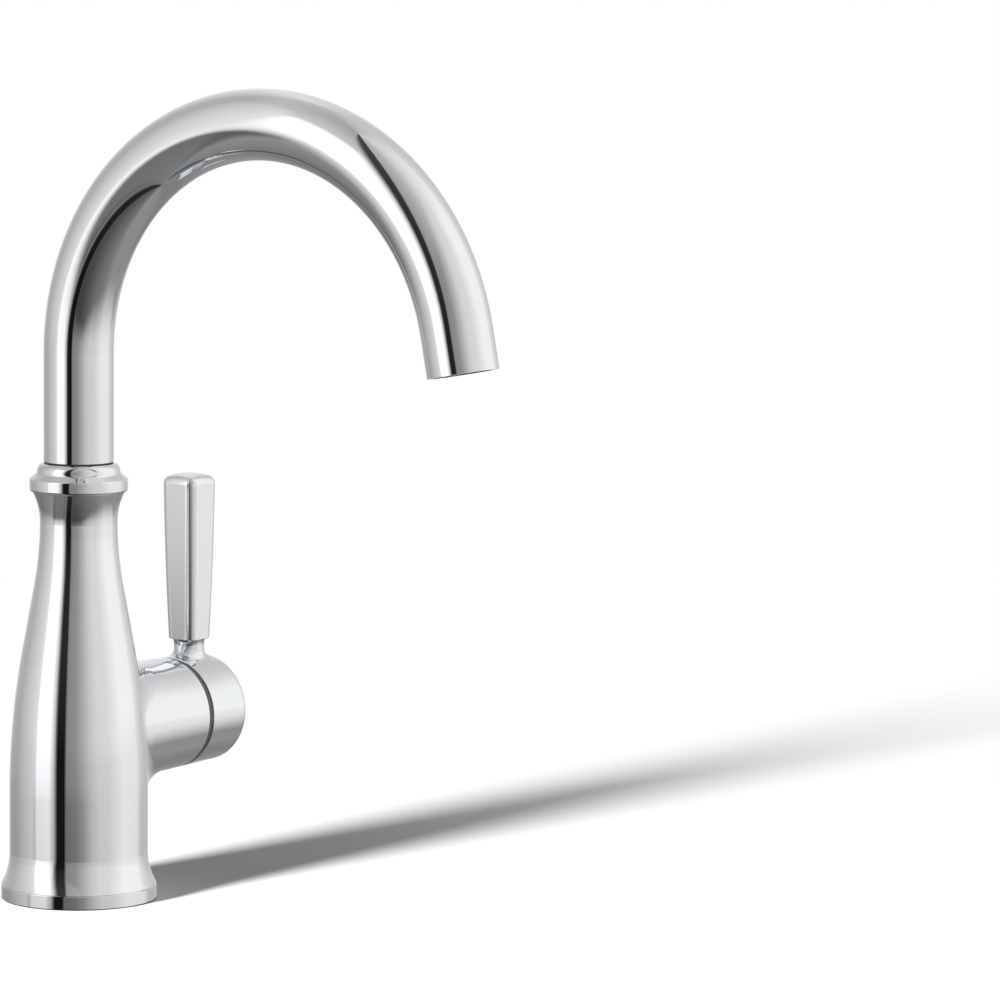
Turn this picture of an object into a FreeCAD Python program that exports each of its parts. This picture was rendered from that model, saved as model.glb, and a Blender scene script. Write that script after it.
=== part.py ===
import FreeCAD, Part
import math
import os

import Sketcher

# Single-lever beverage faucet with a swivel gooseneck spout.
# Origin: centre of the base on the deck. +Z is up, the spout points to -Y and the lever is on +X.
# Lengths are in millimetres and angles in degrees.

SIZES = {
    # Body casting
    "bell_diameter": 44.0,
    "bell_foot_height": 15.0,
    "bell_shoulder_height": 34.0,
    "foot_flare_radius": 21.0,
    "waist_radius": 110.0,
    "waist_run": 22.0,
    "neck_diameter": 24.6,
    "neck_drop": 9.7,
    "top_flare_radius": 21.0,
    "body_height": 130.3,
    "foot_bore_diameter": 37.0,
    "foot_bore_height": 24.0,
    # Base and fixing through the deck
    "gasket_thickness": 0.4,
    "gasket_inset": 0.5,
    "base_ring_height": 4.3,
    "base_ring_edge": 0.4,
    "base_ring_lip": 1.5,
    "shank_diameter": 24.0,
    "shank_bore_diameter": 17.4,
    "shank_head_height": 8.0,
    "shank_drop": 66.0,
    "deck_thickness": 30.0,
    "seal_washer_diameter": 46.0,
    "seal_washer_thickness": 3.0,
    "clamp_washer_diameter": 44.0,
    "clamp_washer_thickness": 2.0,
    "nut_flats": 36.0,
    "nut_height": 9.0,
    "hex_chamfer_angle": 30.0,
    # Water inlet
    "inlet_offset": 3.4,
    "inlet_tube_diameter": 9.52,
    "inlet_tube_wall": 0.9,
    "inlet_tube_drop": 80.0,
    "inlet_socket_depth": 9.0,
    "fitting_flats": 16.0,
    "fitting_hex_height": 6.0,
    "fitting_thread_diameter": 14.28,
    "fitting_thread_length": 14.0,
    "fitting_socket_depth": 9.0,
    # Side barrel, valve seat and water ways
    "valve_height": 54.1,
    "barrel_reach": 44.7,
    "barrel_step": 8.2,
    "barrel_taper": 1.7,
    "barrel_fillet": 15.0,
    "valve_seat_reach": 1.0,
    "outlet_port_reach": 8.2,
    "outlet_port_diameter": 6.4,
    "outlet_groove_depth": 2.0,
    "outlet_groove_width": 4.0,
    "spout_well_diameter": 14.0,
    "spout_well_floor": 70.0,
    # Quarter-turn ceramic valve
    "cage_wall": 1.5,
    "cage_length": 12.0,
    "cage_window_width": 7.0,
    "valve_thread_step": 1.4,
    "valve_thread_length": 9.0,
    "valve_shoulder": 0.6,
    "valve_wrench_gap": 1.3,
    "valve_hex_height": 4.0,
    "valve_neck_diameter": 16.0,
    "valve_seal_thickness": 2.8,
    "valve_seal_width": 1.5,
    "disc_diameter": 14.4,
    "disc_thickness": 2.5,
    "disc_port_diameter": 4.2,
    "disc_port_offset": 4.2,
    "stem_diameter": 9.0,
    "stem_driver_inset": 0.4,
    "stem_driver_height": 1.8,
    "stop_lug_rise": 0.6,
    "stop_lug_angle": 50.0,
    "stop_play": 0.5,
    "valve_turn": 90.0,
    "stem_groove_spacing": 5.0,
    "stem_ring_section": 1.5,
    "stem_end_gap": 0.5,
    "stem_clip_diameter": 12.5,
    "stem_clip_thickness": 0.9,
    "stem_clip_depth": 0.6,
    "valve_ring_section": 1.6,
    # Handle
    "seam_gap": 2.1,
    "seam_edge_radius": 0.3,
    "seam_ring_inset": 0.35,
    "hub_length": 18.6,
    "hub_edge_radius": 2.6,
    "hub_cavity_diameter": 27.0,
    "hub_cavity_depth": 5.0,
    "insert_diameter": 13.0,
    "insert_length": 10.0,
    "lever_neck_diameter": 9.8,
    "lever_neck_flare": 5.0,
    "lever_neck_lip": 0.45,
    "lever_neck_fillet": 3.4,
    "lever_neck_land": 0.45,
    "lever_neck_length": 5.7,
    "lever_length": 54.0,
    "lever_side_bottom": 11.0,
    "lever_side_middle": 12.7,
    "lever_side_top": 13.6,
    "lever_corner_radius": 3.0,
    "lever_crown_radius": 24.0,
    "lever_top_fillet": 2.7,
    "lever_bottom_chamfer": 0.15,
    "stud_diameter": 6.0,
    "stud_hub_depth": 14.0,
    "stud_bar_depth": 13.0,
    "set_screw_diameter": 5.0,
    "set_screw_recess": 1.0,
    "set_screw_key_flats": 2.5,
    "set_screw_key_depth": 2.5,
    # Collar and spout
    "collar_band_diameter": 31.2,
    "collar_band_height": 3.8,
    "collar_band_foot_radius": 0.9,
    "collar_edge_radius": 0.5,
    "collar_slope": 38.0,
    "collar_cove_radius": 1.4,
    "collar_shoulder_diameter": 26.3,
    "collar_top_diameter": 23.0,
    "collar_height": 9.0,
    "collar_lip_height": 2.2,
    "collar_thread_diameter": 24.4,
    "bearing_thickness": 0.9,
    "shank_flange_diameter": 22.6,
    "shank_flange_thickness": 1.0,
    "swivel_diameter": 18.0,
    "swivel_length": 30.0,
    "swivel_bore_diameter": 12.6,
    "swivel_ring_section": 1.8,
    "swivel_ring_spacing": 8.0,
    "swivel_ring_inset": 5.0,
    "wear_ring_thickness": 0.5,
    "wear_ring_inset": 0.15,
    "spout_diameter": 22.2,
    "spout_wall": 1.6,
    "spout_socket_depth": 13.0,
    "bend_radius": 74.4,
    "bend_height": 174.5,
    "bend_angle": 168.6,
    "outlet_length": 12.9,
    # Aerator
    "aerator_recess": 0.8,
    "aerator_length": 8.2,
    "aerator_wall": 1.4,
    "aerator_lip_width": 0.8,
    "aerator_lip_height": 1.2,
    "aerator_insert_height": 5.0,
    "insert_hole_diameter": 1.8,
    "insert_hole_pitch": 2.5,
    "aerator_screen_thickness": 0.7,
    "screen_hole_diameter": 0.9,
    "screen_hole_pitch": 1.3,
    "aerator_seal_thickness": 2.0,
    # Clearances
    "fit_gap": 0.03,
    "running_gap": 0.05,
    "face_gap": 0.1,
    "slide_gap": 0.3,
}

X_AXIS = FreeCAD.Vector(1, 0, 0)
Y_AXIS = FreeCAD.Vector(0, 1, 0)
Z_AXIS = FreeCAD.Vector(0, 0, 1)
UPRIGHT = FreeCAD.Rotation()
ALONG_X = FreeCAD.Rotation(Y_AXIS, 90)
BEND_PLANE = FreeCAD.Rotation(FreeCAD.Vector(1, 1, 1), 120)

INSERT_HOLE_RINGS = 2
SCREEN_HOLE_RINGS = 4

# Millimetres within which a point counts as lying on a face
CLOSE = 0.01

doc = FreeCAD.newDocument("beverage_faucet")
sheet = doc.addObject("Spreadsheet::Sheet", "Sheet")
pieces = []


# Sizes worked out from the sheet


class Size:
    """A number worked out from the sheet: its value now and the expression that gives it."""

    def __init__(self, value, text):
        self.value = value
        self.text = text

    def __add__(self, other):
        other = as_size(other)
        return Size(self.value + other.value, f"({self.text} + {other.text})")

    def __sub__(self, other):
        other = as_size(other)
        return Size(self.value - other.value, f"({self.text} - {other.text})")

    def __mul__(self, other):
        other = as_size(other)
        return Size(self.value * other.value, f"({self.text} * {other.text})")

    def __truediv__(self, other):
        other = as_size(other)
        return Size(self.value / other.value, f"({self.text} / {other.text})")

    def __neg__(self):
        return Size(-self.value, f"(-1 * {self.text})")


def as_size(number):
    if isinstance(number, Size):
        return number
    return Size(float(number), str(float(number)))


def sine(angle):
    return Size(math.sin(math.radians(angle.value)), f"sin({angle.text})")


def cosine(angle):
    return Size(math.cos(math.radians(angle.value)), f"cos({angle.text})")


def tangent(angle):
    return Size(math.tan(math.radians(angle.value)), f"tan({angle.text})")


def root(number):
    return Size(math.sqrt(number.value), f"sqrt({number.text})")


def other_leg(slant, leg):
    """The third side of a right triangle, from its longest side and one leg."""
    return root(slant * slant - leg * leg)


def upright_arc(run, rise):
    """Radius of an arc that starts upright and ends this far in and this far up."""
    return (run * run + rise * rise) / (run * 2)


def corner_radius(flats):
    """Radius of a hexagon's corners, from its size across the flats."""
    return flats / root(as_size(3))


def least(first, second):
    return Size(min(first.value, second.value), f"min({first.text}; {second.text})")


def write_sheet():
    for row, (alias, number) in enumerate(SIZES.items(), start=1):
        sheet.set(f"A{row}", alias)
        sheet.set(f"B{row}", str(number))
        sheet.setAlias(f"B{row}", alias)
    doc.recompute()


def size(alias):
    return Size(SIZES[alias], f"Sheet.{alias}")


def half(alias):
    return size(alias) / 2


# Features bound to the sheet


def bind(feature, **sizes):
    for name, value in sizes.items():
        value = as_size(value)
        setattr(feature, name, value.value)
        feature.setExpression(name, value.text)
    return feature


def place(feature, x=0, y=0, z=0, rotation=UPRIGHT, tilt=None):
    """Put a feature at a point, turned by a fixed rotation or tilted about X by a size."""
    spot = [as_size(value) for value in (x, y, z)]
    if tilt is not None:
        rotation = FreeCAD.Rotation(X_AXIS, tilt.value)
    feature.Placement = FreeCAD.Placement(FreeCAD.Vector(*[value.value for value in spot]), rotation)
    for letter, value in zip("xyz", spot):
        feature.setExpression(f"Placement.Base.{letter}", value.text)
    return feature


def cylinder(name, radius, height, angle=360, **where):
    feature = doc.addObject("Part::Cylinder", name)
    bind(feature, Radius=radius, Height=height, Angle=angle)
    return place(feature, **where)


def hexagon(name, flats, height, **where):
    """A hexagonal bar, sized across its flats."""
    feature = doc.addObject("Part::Prism", name)
    feature.Polygon = 6
    bind(feature, Circumradius=corner_radius(flats), Height=height)
    return place(feature, **where)


def box(name, length, width, height, **where):
    feature = doc.addObject("Part::Box", name)
    bind(feature, Length=length, Width=width, Height=height)
    return place(feature, **where)


def torus(name, ring_radius, section_radius, **where):
    feature = doc.addObject("Part::Torus", name)
    bind(feature, Radius1=ring_radius, Radius2=section_radius)
    return place(feature, **where)


def together(name, features):
    group = doc.addObject("Part::MultiFuse", name)
    group.Shapes = features
    return group


def apart(name, features):
    """Separate solids that share one node."""
    group = doc.addObject("Part::Compound", name)
    group.Links = features
    return group


def less(name, base, tools):
    """The base with the tools cut out of it."""
    feature = doc.addObject("Part::Cut", name)
    feature.Base = base
    feature.Tool = tools[0] if len(tools) == 1 else together(f"{name}_cuts", tools)
    return feature


def keep(label, feature):
    feature.Label = label
    pieces.append(feature)
    return feature


# Sketches


def origin_plane(body, role):
    return next(plane for plane in body.Origin.OriginFeatures if plane.Role == role)


def draw(sketch, outline):
    """A closed outline of corners (u, v) or (u, v, radius).

    A radius makes an arc of the run to the next corner, positive where the arc turns left.
    """
    corners = [(as_size(corner[0]), as_size(corner[1])) for corner in outline]
    radii = [as_size(corner[2]) if len(corner) > 2 else None for corner in outline]
    count = len(corners)
    for index in range(count):
        start = FreeCAD.Vector(*[value.value for value in corners[index]], 0)
        end = FreeCAD.Vector(*[value.value for value in corners[(index + 1) % count]], 0)
        sketch.addGeometry(run_of_outline(start, end, radii[index]))
    for index in range(count):
        end_point = 1 if turns_right(radii[index]) else 2
        next_start = 2 if turns_right(radii[(index + 1) % count]) else 1
        following = (index + 1) % count
        sketch.addConstraint(Sketcher.Constraint("Coincident", index, end_point, following, next_start))
    for index, corner in enumerate(corners):
        start_point = 2 if turns_right(radii[index]) else 1
        for kind, value in zip(("DistanceX", "DistanceY"), corner):
            constrain(sketch, Sketcher.Constraint(kind, -1, 1, index, start_point, value.value), value)
        if radii[index] is not None:
            radius = radii[index] if radii[index].value > 0 else -radii[index]
            constrain(sketch, Sketcher.Constraint("Radius", index, radius.value), radius)


def turns_right(radius):
    return radius is not None and radius.value < 0


def run_of_outline(start, end, radius):
    if radius is None:
        return Part.LineSegment(start, end)
    chord = end - start
    left = FreeCAD.Vector(-chord.y, chord.x, 0).normalize()
    reach = abs(radius.value)
    side = 1 if radius.value > 0 else -1
    centre = (start + end) * 0.5 + left * side * math.sqrt(reach**2 - (chord.Length / 2) ** 2)
    circle = Part.Circle(centre, Z_AXIS, reach)
    first, last = (start, end) if side > 0 else (end, start)
    return Part.ArcOfCircle(circle, circle.parameter(first), circle.parameter(last))


def constrain(sketch, constraint, value):
    number = sketch.addConstraint(constraint)
    sketch.setExpression(f"Constraints[{number}]", value.text)


def new_sketch(body, name, role, **offset):
    sketch = body.newObject("Sketcher::SketchObject", name)
    sketch.AttachmentSupport = (origin_plane(body, role), [""])
    sketch.MapMode = "FlatFace"
    for letter, value in offset.items():
        sketch.setExpression(f"AttachmentOffset.Base.{letter}", as_size(value).text)
    return sketch


def turn(body, name, outline, axis, **offset):
    """Turn an outline in the body's XZ plane about the sketch's own V_Axis or H_Axis."""
    sketch = new_sketch(body, f"{name}_outline", "XZ_Plane", **offset)
    draw(sketch, outline)
    feature = body.newObject("PartDesign::Revolution", name)
    feature.Profile = sketch
    feature.ReferenceAxis = (sketch, [axis])
    feature.Angle = 360
    return feature


def turned(name, outline, axis="V_Axis", **where):
    """A turned piece. Outlines give (radius, height) about V_Axis and (reach, radius) about H_Axis."""
    body = doc.addObject("PartDesign::Body", name)
    turn(body, f"{name}_turning", outline, axis)
    return place(body, **where)


def ring(name, outer, inner, bottom, top, **where):
    return turned(name, [(inner, bottom), (outer, bottom), (outer, top), (inner, top)], **where)


def wrench_hexagon(name, flats, height, **where):
    """A hexagon for a wrench, with its corners chamfered at both ends."""
    corner = corner_radius(flats)
    chamfer = (corner - flats / 2) * tangent(size("hex_chamfer_angle"))
    outline = [
        (0, 0),
        (flats / 2, 0),
        (corner, chamfer),
        (corner, height - chamfer),
        (flats / 2, height),
        (0, height),
    ]
    feature = doc.addObject("Part::Common", name)
    feature.Base = hexagon(f"{name}_bar", flats, height, **where)
    feature.Tool = turned(f"{name}_chamfers", outline, **where)
    return feature


def ring_on_valve(name, outer, inner, start, end):
    outline = [(start, inner), (end, inner), (end, outer), (start, outer)]
    return turned(name, outline, "H_Axis", z=size("valve_height"))


def edges_where(shape, test):
    numbered = enumerate(shape.Edges, start=1)
    return [f"Edge{number}" for number, edge in numbered if not edge.Degenerated and test(edge)]


def round_edges(body, name, base, kind, edges, **sizes):
    feature = body.newObject(kind, name)
    feature.Base = (base, edges)
    return bind(feature, **sizes)


write_sheet()

# Levels and radii that several pieces share

valve_height = size("valve_height")
ring_top = size("gasket_thickness") + size("base_ring_height")
bell_radius = half("bell_diameter")
foot_rise = size("bell_foot_height") - ring_top
foot_radius = bell_radius + size("foot_flare_radius") - other_leg(size("foot_flare_radius"), foot_rise)
shank_radius = half("shank_diameter")
shank_head_bottom = ring_top + size("base_ring_lip")
inlet_tube_radius = half("inlet_tube_diameter")
inlet_way_radius = inlet_tube_radius - size("inlet_tube_wall")
barrel_end_radius = bell_radius - half("barrel_step")
barrel_slope = tangent(size("barrel_taper"))
hub_start = size("barrel_reach") + size("seam_gap")
hub_end = hub_start + size("hub_length")
lever_reach = hub_start + half("hub_length")
seat_start = size("valve_seat_reach")
cage_end = seat_start + size("cage_length")
valve_flange_start = cage_end + size("valve_thread_length")
valve_flange_end = valve_flange_start + size("valve_hex_height")
valve_neck_end = hub_start - size("slide_gap")
disc_radius = half("disc_diameter")
cage_bore_radius = disc_radius + size("slide_gap")
cage_radius = cage_bore_radius + size("cage_wall")
valve_thread_radius = cage_radius + size("valve_thread_step")
valve_flats = (valve_thread_radius + size("valve_shoulder")) * 2
valve_ring_seat_radius = valve_thread_radius + size("valve_ring_section") + size("face_gap")
stop_lug_radius = cage_bore_radius + size("stop_lug_rise")
fixed_disc_start = seat_start + size("valve_seal_thickness")
fixed_disc_end = fixed_disc_start + size("disc_thickness")
moving_disc_start = fixed_disc_end + size("face_gap")
driver_start = moving_disc_start + size("disc_thickness")
stem_radius = half("stem_diameter")
clip_start = valve_neck_end + size("slide_gap")
clip_end = clip_start + size("stem_clip_thickness")
insert_start = hub_start + size("hub_cavity_depth")
insert_end = insert_start + size("insert_length")
stem_end = insert_end - size("stem_end_gap")
screw_hole_radius = half("set_screw_diameter") + size("fit_gap")
body_top = size("body_height")
neck_height = body_top - size("neck_drop")
collar_top = body_top + size("collar_height")
lip_bottom = collar_top - size("collar_lip_height")
flange_top = lip_bottom - size("bearing_thickness") - size("face_gap")
flange_bottom = flange_top - size("shank_flange_thickness")
spigot_top = flange_bottom - size("bearing_thickness") - size("face_gap")
swivel_radius = half("swivel_diameter")
spout_radius = half("spout_diameter")
spout_bore_radius = spout_radius - size("spout_wall")
spout_bottom = collar_top + size("face_gap") + size("wear_ring_thickness")


def barrel_radius(reach):
    """Radius of the tapered barrel and hub at a reach along X."""
    return barrel_end_radius + (size("barrel_reach") - reach) * barrel_slope


lever_bottom = valve_height + barrel_radius(lever_reach) + size("lever_neck_length")


def valve_bar(name, radius, start, end, **more):
    """A round bar on the valve's axis, between two reaches along X."""
    return cylinder(name, radius, end - start, x=start, z=valve_height, rotation=ALONG_X, **more)


# Body casting


def body_outline():
    """Half section of the bell, waist and neck, with a spigot for the collar on top.

    The waist is a hollow arc, a straight run and a round shoulder, each tangent to the next.
    """
    neck_radius = half("neck_diameter")
    waist_radius = size("waist_radius")
    run = size("waist_run")
    rise = neck_height - size("bell_shoulder_height")
    spread = bell_radius - neck_radius
    both_radii = (spread * spread + rise * rise - run * run) / (spread * 2)
    shoulder_radius = both_radii - waist_radius
    reach_squared = both_radii * both_radii + run * run
    lean = (both_radii * rise + run * (spread - both_radii)) / reach_squared
    plumb = (run * rise - both_radii * (spread - both_radii)) / reach_squared
    line_bottom_radius = bell_radius - shoulder_radius * (as_size(1) - plumb)
    line_bottom = size("bell_shoulder_height") + shoulder_radius * lean
    line_top_radius = neck_radius + waist_radius * (as_size(1) - plumb)
    line_top = neck_height - waist_radius * lean
    flare = size("top_flare_radius")
    top_radius = neck_radius + flare - other_leg(flare, size("neck_drop"))
    spigot_radius = half("collar_thread_diameter") - size("fit_gap")
    return [
        (0, ring_top),
        (foot_radius, ring_top, -size("foot_flare_radius")),
        (bell_radius, size("bell_foot_height")),
        (bell_radius, size("bell_shoulder_height"), shoulder_radius),
        (line_bottom_radius, line_bottom),
        (line_top_radius, line_top, -waist_radius),
        (neck_radius, neck_height, -flare),
        (top_radius, body_top),
        (spigot_radius, body_top),
        (spigot_radius, spigot_top),
        (0, spigot_top),
    ]


def body_blank():
    """Bell and barrel, with a fillet where they meet."""
    body = doc.addObject("PartDesign::Body", "body_blank")
    turn(body, "bell", body_outline(), "V_Axis")
    reach = size("barrel_reach")
    edge = size("seam_edge_radius")
    barrel_outline = [
        (0, 0),
        (reach, 0),
        (reach, barrel_radius(reach) - edge, edge),
        (reach - edge, barrel_radius(reach - edge)),
        (0, barrel_radius(as_size(0))),
    ]
    barrel = turn(body, "barrel", barrel_outline, "H_Axis", y=valve_height)
    doc.recompute()

    def where_barrel_leaves_bell(seam):
        return all(on_barrel(point) for point in seam.discretize(7))

    def on_barrel(point):
        reach_now = point.x
        if reach_now < 1 or reach_now > reach.value - 1:
            return False
        radius_now = math.hypot(point.y, point.z - valve_height.value)
        return abs(radius_now - barrel_radius(as_size(reach_now)).value) < CLOSE

    edges = edges_where(barrel.Shape, where_barrel_leaves_bell)
    round_edges(body, "barrel_blend", barrel, "PartDesign::Fillet", edges, Radius=size("barrel_fillet"))
    return body


def faucet_body():
    inlet_top = valve_height + inlet_way_radius
    socket_top = size("foot_bore_height") + size("inlet_socket_depth")
    groove_start = cage_end - size("outlet_groove_width")
    port_bottom = valve_height + cage_radius
    port_top = size("spout_well_floor") + size("outlet_port_diameter")
    swivel_bottom = body_top - size("swivel_length")
    barrel_bore_radius = corner_radius(valve_flats) + size("valve_wrench_gap")
    cuts = [
        cylinder("foot_bore", half("foot_bore_diameter"), size("foot_bore_height") - ring_top, z=ring_top),
        cylinder(
            "inlet_socket",
            inlet_tube_radius + size("fit_gap"),
            size("inlet_socket_depth"),
            x=-size("inlet_offset"),
            z=size("foot_bore_height"),
        ),
        cylinder(
            "inlet_way",
            inlet_way_radius,
            inlet_top - socket_top,
            x=-size("inlet_offset"),
            z=socket_top,
        ),
        valve_bar("inlet_turn", inlet_way_radius, -size("inlet_offset"), seat_start),
        valve_bar("cage_bore", cage_radius + size("fit_gap"), seat_start, cage_end),
        valve_bar("outlet_groove", cage_radius + size("outlet_groove_depth"), groove_start, cage_end),
        valve_bar(
            "valve_thread_bore",
            valve_thread_radius + size("fit_gap"),
            cage_end,
            valve_flange_start,
        ),
        valve_bar(
            "valve_ring_seat",
            valve_ring_seat_radius,
            valve_flange_start - size("valve_ring_section"),
            valve_flange_start,
        ),
        valve_bar("barrel_bore", barrel_bore_radius, valve_flange_start, size("barrel_reach")),
        cylinder(
            "outlet_port",
            half("outlet_port_diameter"),
            port_top - port_bottom,
            x=size("outlet_port_reach"),
            z=port_bottom,
        ),
        cylinder(
            "spout_well",
            half("spout_well_diameter"),
            swivel_bottom - size("spout_well_floor"),
            z=size("spout_well_floor"),
        ),
        cylinder(
            "swivel_bore",
            swivel_radius + size("running_gap"),
            spigot_top - swivel_bottom,
            z=swivel_bottom,
        ),
    ]
    keep("faucet_body", less("body_casting", body_blank(), cuts))


# Base and fixing


def base_and_fixing():
    edge = size("base_ring_edge")
    hole = shank_radius + size("slide_gap")
    lip = half("foot_bore_diameter") - size("fit_gap")
    lip_top = ring_top + size("base_ring_lip")
    ring_outline = [
        (hole, size("gasket_thickness")),
        (foot_radius, size("gasket_thickness")),
        (foot_radius, ring_top - edge, edge),
        (foot_radius - edge, ring_top),
        (lip, ring_top),
        (lip, lip_top),
        (hole, lip_top),
    ]
    keep("base_ring", turned("base_ring", ring_outline))
    gasket_radius = foot_radius - size("gasket_inset")
    keep("base_gasket", ring("base_gasket", gasket_radius, hole, 0, size("gasket_thickness")))
    head_top = shank_head_bottom + size("shank_head_height")
    bore = half("shank_bore_diameter")
    shank_outline = [
        (bore, -size("shank_drop")),
        (shank_radius, -size("shank_drop")),
        (shank_radius, shank_head_bottom),
        (lip, shank_head_bottom),
        (lip, head_top),
        (bore, head_top),
    ]
    keep("mounting_shank", turned("mounting_shank", shank_outline))
    seal_top = -size("deck_thickness")
    seal_bottom = seal_top - size("seal_washer_thickness")
    clamp_bottom = seal_bottom - size("clamp_washer_thickness")
    seal_radius = half("seal_washer_diameter")
    keep("deck_seal_washer", ring("deck_seal_washer", seal_radius, hole, seal_bottom, seal_top))
    clamp_radius = half("clamp_washer_diameter")
    keep("deck_clamp_washer", ring("deck_clamp_washer", clamp_radius, hole, clamp_bottom, seal_bottom))
    nut_bottom = clamp_bottom - size("nut_height")
    nut = wrench_hexagon("nut_blank", size("nut_flats"), size("nut_height"), z=nut_bottom)
    thread = cylinder("nut_thread", shank_radius + size("fit_gap"), size("nut_height"), z=nut_bottom)
    keep("mounting_nut", less("nut_with_thread", nut, [thread]))


def water_inlet():
    tube_bottom = -size("inlet_tube_drop")
    tube_top = size("foot_bore_height") + size("inlet_socket_depth")
    aside = -size("inlet_offset")
    tube = ring("inlet_tube", inlet_tube_radius, inlet_way_radius, tube_bottom, tube_top, x=aside)
    keep("inlet_tube", tube)
    socket_radius = inlet_tube_radius + size("fit_gap")
    hex_top = tube_bottom + size("fitting_socket_depth")
    hex_bottom = hex_top - size("fitting_hex_height")
    thread_bottom = hex_bottom - size("fitting_thread_length")
    hex_height = size("fitting_hex_height")
    wrench_hex = wrench_hexagon("fitting_hex", size("fitting_flats"), hex_height, x=aside, z=hex_bottom)
    thread_length = size("fitting_thread_length")
    thread_radius = half("fitting_thread_diameter")
    thread = cylinder("fitting_thread", thread_radius, thread_length, x=aside, z=thread_bottom)
    blank = together("fitting_blank", [wrench_hex, thread])
    socket = cylinder("fitting_socket", socket_radius, size("fitting_socket_depth"), x=aside, z=tube_bottom)
    way = cylinder("fitting_way", inlet_way_radius, hex_top - thread_bottom, x=aside, z=thread_bottom)
    keep("inlet_fitting", less("fitting_with_bore", blank, [socket, way]))


# Valve


def valve_cage():
    """Brass cage that holds the discs, screwed into the barrel."""
    stem_bore = stem_radius + size("running_gap")
    neck = half("valve_neck_diameter")
    outline = [
        (seat_start, cage_bore_radius),
        (cage_end, cage_bore_radius),
        (cage_end, stem_bore),
        (valve_neck_end, stem_bore),
        (valve_neck_end, neck),
        (valve_flange_start, neck),
        (valve_flange_start, valve_thread_radius),
        (cage_end, valve_thread_radius),
        (cage_end, cage_radius),
        (seat_start, cage_radius),
    ]
    turning = turned("cage_turning", outline, "H_Axis", z=valve_height)
    flange = hexagon(
        "cage_flange",
        valve_flats,
        size("valve_hex_height"),
        x=valve_flange_start,
        z=valve_height,
        rotation=ALONG_X,
    )
    flange_bore = valve_bar("cage_flange_bore", neck, valve_flange_start, valve_flange_end)
    blank = together("cage_blank", [turning, less("cage_hex", flange, [flange_bore])])
    window = size("cage_window_width")
    outlet_window = box(
        "outlet_window",
        cage_end - driver_start,
        window,
        cage_radius,
        x=driver_start,
        y=-window / 2,
        z=valve_height,
    )
    play = size("stop_play")
    stop_track = valve_sector(
        "stop_track",
        stop_lug_radius + size("face_gap"),
        driver_start,
        cage_end,
        size("valve_turn") + size("stop_lug_angle") + play * 2,
        -size("stop_lug_angle") / 2 - play,
    )
    keep("valve_cage", less("cage_with_windows", blank, [outlet_window, stop_track]))


def valve_sector(name, radius, start, end, angle, lead):
    """A sector about the valve's axis. It opens the way the stem turns, from a lead past straight down."""
    sector = valve_bar(name, radius, start, end, angle=angle)
    rotation = ALONG_X.multiply(FreeCAD.Rotation(Z_AXIS, lead.value))
    sector.Placement = FreeCAD.Placement(sector.Placement.Base, rotation)
    return sector


def valve_seals():
    inner = disc_radius - size("valve_seal_width")
    keep("valve_seal", ring_on_valve("valve_seal", disc_radius, inner, seat_start, fixed_disc_start))
    o_ring = torus(
        "valve_o_ring",
        valve_ring_seat_radius - size("valve_ring_section") / 2,
        size("valve_ring_section") / 2,
        x=valve_flange_start - size("valve_ring_section") / 2,
        z=valve_height,
        rotation=ALONG_X,
    )
    keep("valve_o_ring", o_ring)


def valve_discs():
    """Two ceramic discs with one port each. The ports meet when the stem has made its quarter turn."""
    port = half("disc_port_diameter")
    offset = size("disc_port_offset")
    fixed = valve_bar("fixed_disc_blank", disc_radius, fixed_disc_start, fixed_disc_end)
    fixed_port = cylinder(
        "fixed_disc_port",
        port,
        size("disc_thickness"),
        x=fixed_disc_start,
        y=offset * sine(size("valve_turn")),
        z=valve_height - offset * cosine(size("valve_turn")),
        rotation=ALONG_X,
    )
    keep("fixed_disc", less("fixed_disc_with_port", fixed, [fixed_port]))
    moving = valve_bar("moving_disc_blank", disc_radius, moving_disc_start, driver_start)
    moving_port = port_through_driver("moving_disc_port", moving_disc_start, driver_start)
    keep("moving_disc", less("moving_disc_with_port", moving, [moving_port]))


def port_through_driver(name, start, end):
    """The port that turns with the stem, straight below the axis at rest."""
    low = valve_height - size("disc_port_offset")
    return cylinder(name, half("disc_port_diameter"), end - start, x=start, z=low, rotation=ALONG_X)


def grooved(start, end, radius, grooves):
    """Corners of a turned wall from start to end, with square grooves (start, end, floor radius)."""
    corners = [(start, radius)]
    for groove_start, groove_end, floor in grooves:
        corners += [(groove_start, radius), (groove_start, floor), (groove_end, floor), (groove_end, radius)]
    return corners + [(end, radius)]


def ring_groove(middle, section, radius):
    """Groove (start, end, floor radius) for a seal ring in a shaft."""
    reach = section / 2 + size("face_gap")
    return (middle - reach, middle + reach, radius - section)


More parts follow.
